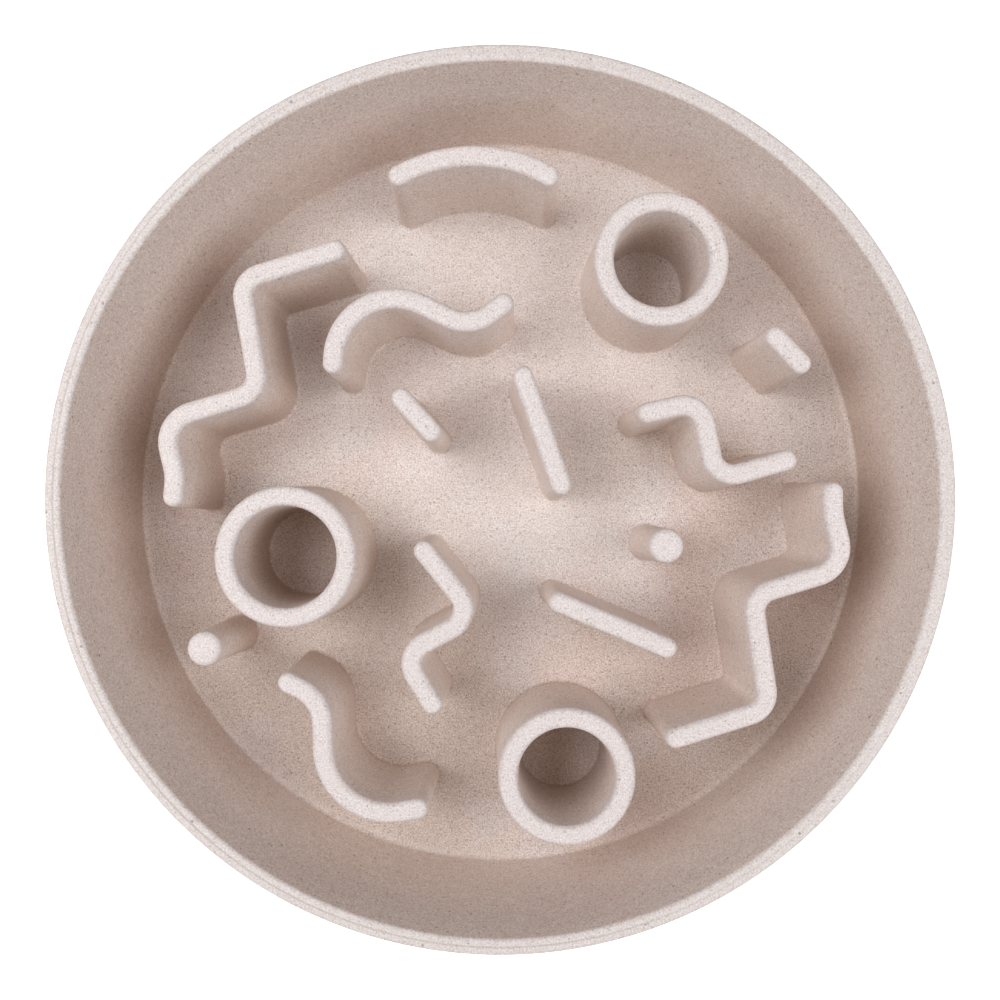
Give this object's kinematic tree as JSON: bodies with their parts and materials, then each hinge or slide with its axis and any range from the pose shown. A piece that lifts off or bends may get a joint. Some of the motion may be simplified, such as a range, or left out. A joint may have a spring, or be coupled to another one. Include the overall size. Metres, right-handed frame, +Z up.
{
  "type": "slow feeder bowl",
  "caption": "Round shallow pet bowl whose floor carries upright zigzag and curved ridges, open rings and posts that slow eating, on soft round foot pads.",
  "frame": {"origin": "centre of the bowl on the surface that its foot pads stand on", "axes": "+Z up along the bowl's axis, +Y to the back of the bowl as the picture shows it, +X to the right"},
  "size_m": [0.2498, 0.2498, 0.0565],
  "materials": {
    "bowl_plastic": "matt, with fine fibre specks",
    "pad_rubber": "matt"
  },
  "bodies": {
    "root": {"dish": "bowl_plastic", "back_arc": "bowl_plastic", "back_ring": "bowl_plastic", "right_block": "bowl_plastic", "left_zigzag": "bowl_plastic", "back_wave": "bowl_plastic", "short_bar": "bowl_plastic", "middle_bar": "bowl_plastic", "small_zigzag": "bowl_plastic", "right_post": "bowl_plastic", "right_zigzag": "bowl_plastic", "front_bar": "bowl_plastic", "left_ring": "bowl_plastic", "front_zigzag": "bowl_plastic", "left_post": "bowl_plastic", "front_wave": "bowl_plastic", "front_ring": "bowl_plastic", "foot_pad_1": "pad_rubber", "foot_pad_2": "pad_rubber", "foot_pad_3": "pad_rubber", "foot_pad_4": "pad_rubber"}
  },
  "joints": []
}
